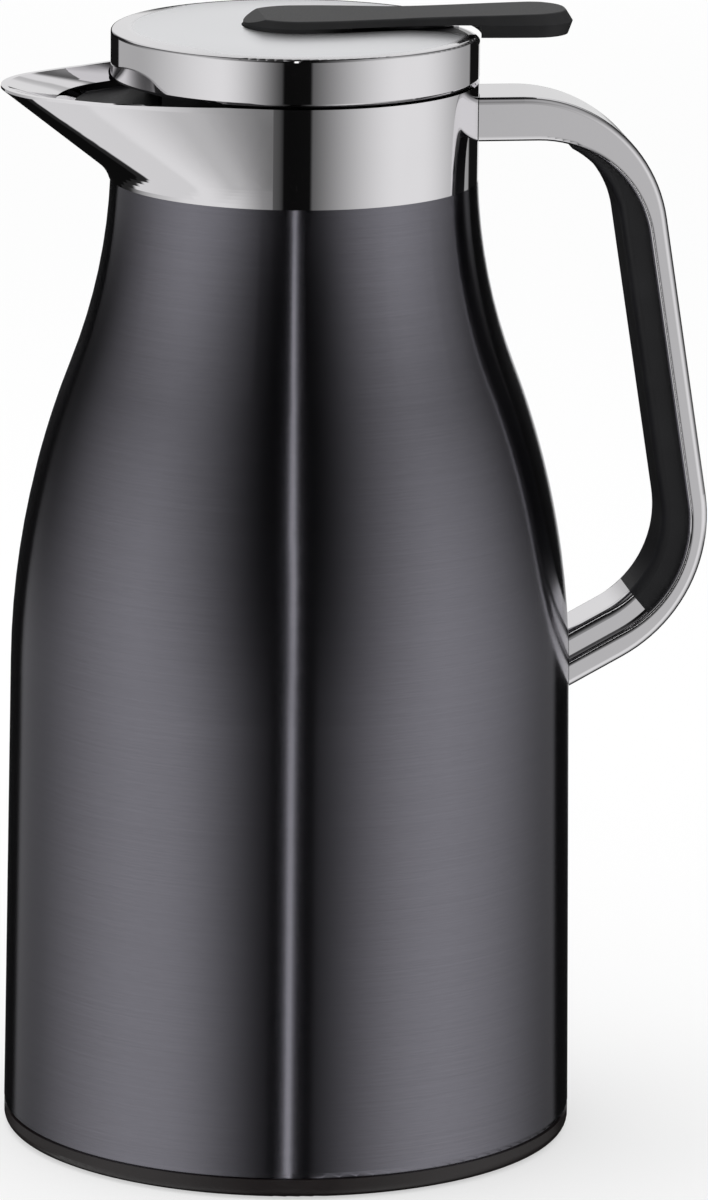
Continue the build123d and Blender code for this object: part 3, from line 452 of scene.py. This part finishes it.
class JUG_OT_bright(bpy.types.Operator):
    """Finish collar, lid cover and handle in mirror plating"""

    bl_idname = "jug.bright"
    bl_label = "Bright pieces"

    def execute(self, context):
        looks = context.scene.jug_looks
        dress(bright_plate("bright_plate", looks), "collar")
        dress(bright_plate("handle_plate", looks, lean=looks.handle_lean), "handle_shell")
        dress(bright_plate("lid_plate", looks, satin_top=True), "lid_cover")
        return {"FINISHED"}


class JUG_OT_plastics(bpy.types.Operator):
    """Finish lever, grip, foot ring and the dark mouldings"""

    bl_idname = "jug.plastics"
    bl_label = "Plastic pieces"

    def execute(self, context):
        looks = context.scene.jug_looks
        dress(moulded_plastic("lever_charcoal", looks.lever_colour, 0.5, 2600, 0.25), "lever")
        dress(moulded_plastic("grip_black", looks.grip_colour, 0.42, 2200), "handle_grip")
        dress(moulded_plastic("foot_ring_brown", looks.base_colour, 0.32, 1500), "base_cap")
        dark = moulded_plastic("moulding_black", (0.005, 0.005, 0.006), 0.5, 1800, 0.25)
        dress(dark, "neck_insert", "lid_core", "stopper_body", "push_cap", "valve_disc")
        return {"FINISHED"}


class JUG_OT_metal(bpy.types.Operator):
    """Finish the bare metal pieces"""

    bl_idname = "jug.metal"
    bl_label = "Bare metal pieces"

    def execute(self, context):
        drawn = plain_steel("drawn_steel", (0.60, 0.60, 0.61), 0.3, (25, 25, 1500))
        dress(drawn, "inner_vessel", "shell_bottom", "vacuum_plug", "foot_bracket", "valve_stem")
        turned = plain_steel("plated_steel", (0.62, 0.61, 0.58), 0.28, (900, 900, 2400))
        dress(turned, "handle_root_screws", "handle_foot_screw", "lid_screws", "lever_pin")
        dress(turned, "valve_nut", "valve_spring")
        dress(plain_steel("getter_grey", (0.42, 0.42, 0.40), 0.6, (500, 500, 500)), "getter")
        return {"FINISHED"}


class JUG_OT_seals(bpy.types.Operator):
    """Finish the seals and the foot pad"""

    bl_idname = "jug.seals"
    bl_label = "Seals"

    def execute(self, context):
        pale = soft_rubber("pale_silicone", (0.55, 0.55, 0.53), 0.45)
        dress(pale, "lip_gasket", "stopper_gasket", "stem_seal", "valve_seal")
        dress(soft_rubber("pad_rubber", (0.035, 0.035, 0.037), 0.7), "base_pad")
        return {"FINISHED"}


# Studio


def camera_axes(studio):
    """Right, up and forward of the camera, in the jug's frame."""
    yaw, pitch, roll = studio.yaw, studio.pitch, studio.roll
    level, down = math.cos(pitch), math.sin(pitch)
    right = Vector((math.cos(yaw), -math.sin(yaw), 0))
    forward = Vector((math.sin(yaw) * level, math.cos(yaw) * level, -down))
    up = Vector((math.sin(yaw) * down, math.cos(yaw) * down, level))
    leaning_right = math.cos(roll) * right + math.sin(roll) * up
    leaning_up = math.cos(roll) * up - math.sin(roll) * right
    turn = Matrix.Rotation(-studio.turn, 3, "Z")
    return turn @ leaning_right, turn @ leaning_up, turn @ forward


def add_camera(studio):
    """The camera where the studio's sizes put it."""
    right, up, forward = camera_axes(studio)
    data = bpy.data.cameras.new("studio_camera")
    data.sensor_width = 36.0
    data.lens = studio.focal / IMAGE_HEIGHT * data.sensor_width
    data.clip_start = 0.05
    data.clip_end = 50.0
    camera = bpy.data.objects.new("studio_camera", data)
    bpy.context.scene.collection.objects.link(camera)
    place = Vector((-math.sin(studio.turn), -math.cos(studio.turn), 0)) * studio.distance
    place.z = studio.height
    turned = Matrix((right, up, -forward)).transposed().to_4x4()
    camera.matrix_world = Matrix.Translation(place) @ turned
    bpy.context.scene.camera = camera


def rise(value, edges):
    """0 below one angle in degrees, 1 above another and a smooth rise between them."""
    low, high = edges
    return value.ramp(math.radians(low), math.radians(high))


def fade(value, edges, loss):
    """1 below one angle in degrees, and less by the loss above another."""
    return 1 - loss * rise(value, edges)


def band(value, edges, soft):
    """1 between two angles in degrees, with soft sides."""
    low, high = edges
    return rise(value, (low - soft, low + soft)) - rise(value, (high - soft, high + soft))


def side_lights(around, height):
    """The big soft lights that the metal mirrors, weaker behind and dark at the camera."""
    side = abs(around)
    left = 1 - rise(around, SIDE_CHANGE)
    left_light = rise(side, LEFT_LIGHT_START) * fade(side, LEFT_LIGHT_END, 0.48)
    right_light = rise(side, RIGHT_LIGHT_START) * fade(side, RIGHT_LIGHT_END, 0.6)
    level_light = right_light + (left_light - right_light) * left
    fall = fade(side, HIGH_AND_LOW_END, 0.98)
    high_light = rise(side, HIGH_LIGHT_START) * fall * fade(height, HIGH_LIGHT_DIM, 0.45)
    spout_light = band(around, SPOUT_LIGHT, 3) * (1 - rise(height, SPOUT_LIGHT_TOP))
    nearer = side + left * math.radians(2)
    low_light = rise(nearer, LOW_LIGHT_START) * (fall + (0.9 - fall) * spout_light)
    front = low_light + (level_light * 1.03 - low_light) * rise(height, LEVEL_LIGHT_START)
    front = front + (high_light - front) * rise(height, HIGH_LIGHT_FOOT)
    flags = band(around, CAMERA_FLAG, 1.2) + band(around, LEFT_FLAG, 1.5)
    flags = flags + band(around, RIGHT_FLAG, 1.5)
    return front * (1 - 0.99 * flags.least(1.0) * (1 - rise(height, FLAG_TOP))) + 0.005


def mirrored_studio(around, height, strip_strength):
    """What the metal mirrors: lights, walls, ceiling, table and the thin strip."""
    front = side_lights(around, height)
    side = abs(around)
    low_back = rise(side, LOW_BACK_START) * rise(height, LOW_BACK_FOOT)
    back = low_back.most(rise(side, BACK_START) * rise(height, BACK_FOOT))
    table = 1 - rise(height, TABLE_END)
    far_wall = 0.97 - 0.25 * band(height, FAR_WALL_SEAM, 3)
    behind_handle = band(around, HANDLE_WALL, 0.8) * band(height, HANDLE_WALL_HEIGHT, 1.5)
    walls = front * (1 - back) + far_wall * back
    walls = walls * fade(height, CEILING_START, 0.9) * (1 - table * 0.95)
    walls = walls + (0.92 - walls) * behind_handle
    strip_height = band(height, LOW_STRIP, 1.0) + 0.6 * band(height, HIGH_STRIP, 2.0)
    return walls + band(around, STRIP, 0.5) * strip_height * strip_strength


def add_world(studio):
    """White behind the jug, an even soft light, and lights and flags for the metal to mirror."""
    world = bpy.data.worlds.new("studio_light")
    world.use_nodes = True
    bpy.context.scene.world = world
    tree = Tree(world.node_tree)
    x, y, z = tree.node("ShaderNodeTexCoord", output="Generated").parts()
    turn = studio.turn
    ahead = x * -math.sin(turn) + y * -math.cos(turn)
    aside = x * math.cos(turn) + y * -math.sin(turn)
    level = (ahead * ahead + aside * aside) ** 0.5
    around = tree.node("ShaderNodeMath", {"operation": "ARCTAN2"}, {0: aside, 1: ahead})
    height = tree.node("ShaderNodeMath", {"operation": "ARCTAN2"}, {0: z, 1: level})
    mirrored = mirrored_studio(around, height, studio.strip_strength)
    soft = SOFT_LEVEL + SOFT_FROM_ABOVE * z.most(0.0)
    glossy = tree.node("ShaderNodeLightPath", output="Is Glossy Ray")
    seen = tree.node("ShaderNodeLightPath", output="Is Camera Ray")
    strength = soft + (mirrored - soft) * glossy
    strength = strength + (1 - strength) * seen
    light = tree.node("ShaderNodeBackground", None, {"Strength": strength})
    tree.node("ShaderNodeOutputWorld", None, {"Surface": light}, output=None)


def add_floor(studio):
    """A pale floor that keeps the shadow; metal looks through it to the studio."""
    bpy.ops.mesh.primitive_circle_add(
        vertices=96, radius=studio.floor_radius, fill_type="NGON", location=(0, 0, 0)
    )
    floor = bpy.context.object
    floor.name = "studio_floor"
    made = bpy.data.materials.new("pale_floor")
    made.use_nodes = True
    tree = Tree(made.node_tree)
    x, y, z = tree.point().parts()
    reach = ((x * x + y * y) ** 0.5).ramp(studio.floor_radius * 0.25, studio.floor_radius * 0.8)
    pale = tree.node("ShaderNodeBsdfDiffuse", None, {"Color": colour(FLOOR_PALE)})
    bounce = tree.node("ShaderNodeBsdfDiffuse", None, {"Color": colour(FLOOR_BOUNCE)})
    white = tree.node("ShaderNodeEmission", None, {"Color": (1, 1, 1, 1), "Strength": 1.0})
    clear = tree.node("ShaderNodeBsdfTransparent")
    seen = tree.node("ShaderNodeLightPath", output="Is Camera Ray")
    glossy = tree.node("ShaderNodeLightPath", output="Is Glossy Ray")
    transmitted = tree.node("ShaderNodeLightPath", output="Is Transmission Ray")
    glow = FLOOR_GLOW + (1 - FLOOR_GLOW) * reach
    blend = tree.node("ShaderNodeMixShader", None, {0: glow, 1: pale, 2: white})
    lit = tree.node("ShaderNodeMixShader", None, {0: seen, 1: bounce, 2: blend})
    mirrored = glossy.most(transmitted)
    through = tree.node("ShaderNodeMixShader", None, {0: mirrored, 1: lit, 2: clear})
    tree.node("ShaderNodeOutputMaterial", None, {"Surface": through}, output=None)
    floor.data.materials.append(made)


def add_lamp(name, place, size, power):
    """A round soft lamp that points at the jug's foot and shows in no reflection."""
    data = bpy.data.lights.new(name, "AREA")
    data.shape = "DISK"
    data.size = size
    data.energy = power
    lamp = bpy.data.objects.new(name, data)
    bpy.context.scene.collection.objects.link(lamp)
    aim = (-Vector(place)).to_track_quat("-Z", "Y").to_matrix().to_4x4()
    lamp.matrix_world = Matrix.Translation(place) @ aim
    lamp.visible_glossy = False


class JUG_OT_studio(bpy.types.Operator):
    """Build the camera, the pale floor and the soft light"""

    bl_idname = "jug.studio"
    bl_label = "Studio"

    def execute(self, context):
        studio = context.scene.jug_studio
        context.scene.view_settings.view_transform = "Standard"
        add_camera(studio)
        add_world(studio)
        add_floor(studio)
        add_lamp("overhead_lamp", LAMP_PLACE, LAMP_SIZE, LAMP_POWER)
        return {"FINISHED"}


# Panel and registration


class JUG_PT_panel(bpy.types.Panel):
    """Lists the steps that dress the jug"""

    bl_idname = "JUG_PT_panel"
    bl_label = "Jug"
    bl_space_type = "VIEW_3D"
    bl_region_type = "UI"
    bl_category = "Jug"

    def draw(self, context):
        for step in STEPS:
            self.layout.operator(step.bl_idname)
        for group in (context.scene.jug_looks, context.scene.jug_studio):
            for name in group.__annotations__:
                self.layout.prop(group, name)


STEPS = (JUG_OT_body, JUG_OT_bright, JUG_OT_plastics, JUG_OT_metal, JUG_OT_seals, JUG_OT_studio)
CLASSES = (JugLooks, JugStudio, *STEPS, JUG_PT_panel)


def register():
    for each in CLASSES:
        bpy.utils.register_class(each)
    bpy.types.Scene.jug_looks = PointerProperty(type=JugLooks)
    bpy.types.Scene.jug_studio = PointerProperty(type=JugStudio)


def unregister():
    del bpy.types.Scene.jug_studio
    del bpy.types.Scene.jug_looks
    for each in reversed(CLASSES):
        bpy.utils.unregister_class(each)


def main():
    register()
    for step in STEPS:
        group, name = step.bl_idname.split(".")
        getattr(getattr(bpy.ops, group), name)()


if __name__ == "__main__":
    main()
